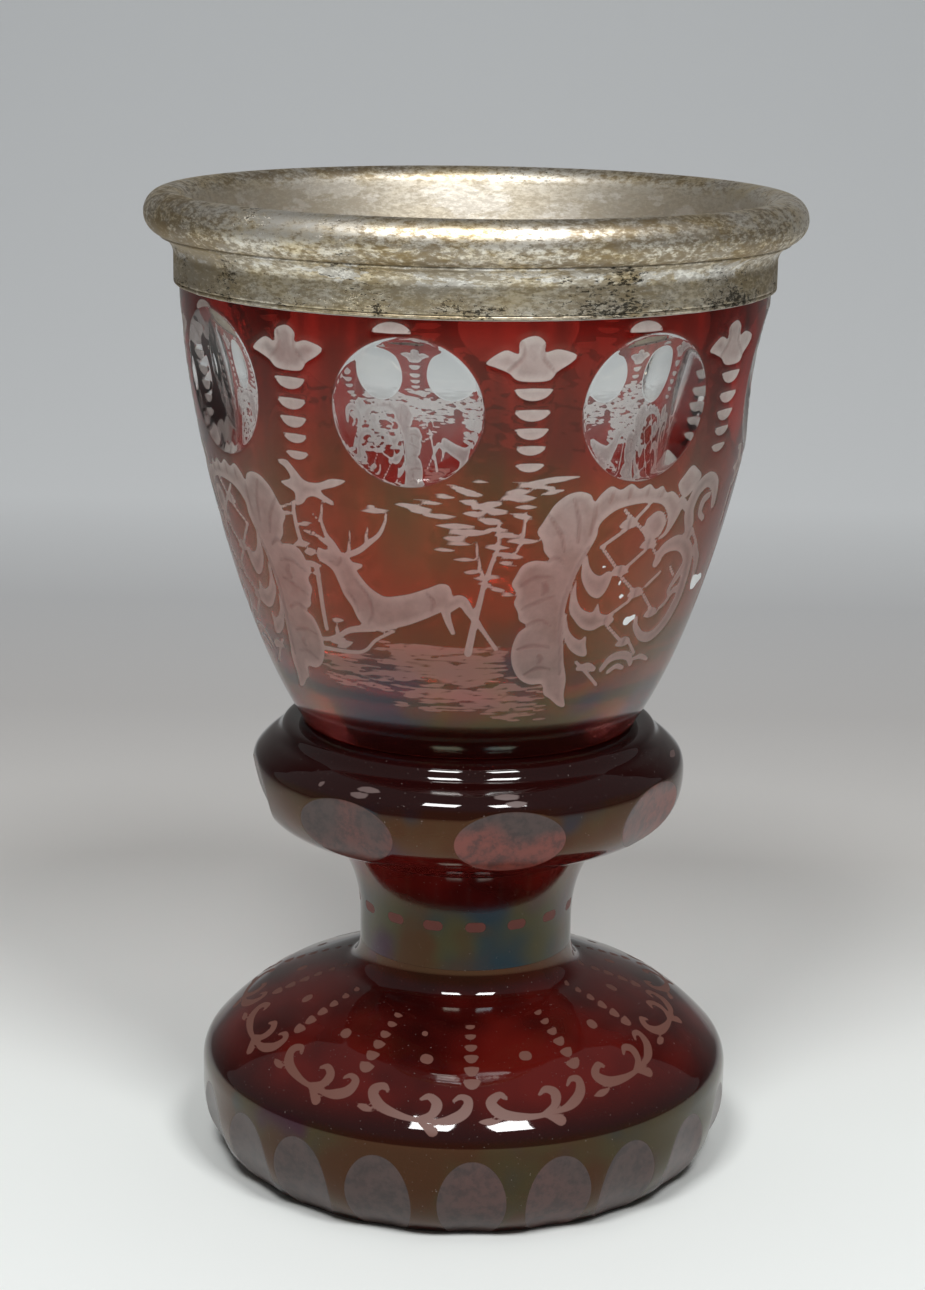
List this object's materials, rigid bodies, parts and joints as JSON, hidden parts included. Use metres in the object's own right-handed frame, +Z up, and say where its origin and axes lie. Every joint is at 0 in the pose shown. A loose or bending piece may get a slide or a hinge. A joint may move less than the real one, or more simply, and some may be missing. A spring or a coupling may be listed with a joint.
{
  "type": "footed cup",
  "caption": "Footed cup: flared ruby glass bowl with lens cuts on a thick glass collar, short stem and domed foot, with a rolled metal rim round its mouth.",
  "frame": {"origin": "centre of the foot's underside, on the surface that the cup stands on", "axes": "+Z up along the cup's turning axis; -Y is the side that faces the viewer"},
  "size_m": [0.1042, 0.1042, 0.1597],
  "materials": {
    "ruby_glass": "clear glass stained ruby on its outer surface, polished, with matt engraving and clear lens cuts",
    "dark_ruby_glass": "thick glass stained dark ruby with a lustre, polished, with matt engraving",
    "silver_plate": "tarnished and pitted silver plate over brass sheet",
    "plaster": "matt off-white plaster"
  },
  "bodies": {
    "root": {"glass_foot": "dark_ruby_glass", "glass_stem": "dark_ruby_glass", "glass_collar": "dark_ruby_glass", "glass_bowl": "ruby_glass", "rim_roll": "silver_plate", "rim_skirt": "silver_plate", "rim_wire": "silver_plate", "rim_cement": "plaster"}
  },
  "joints": []
}
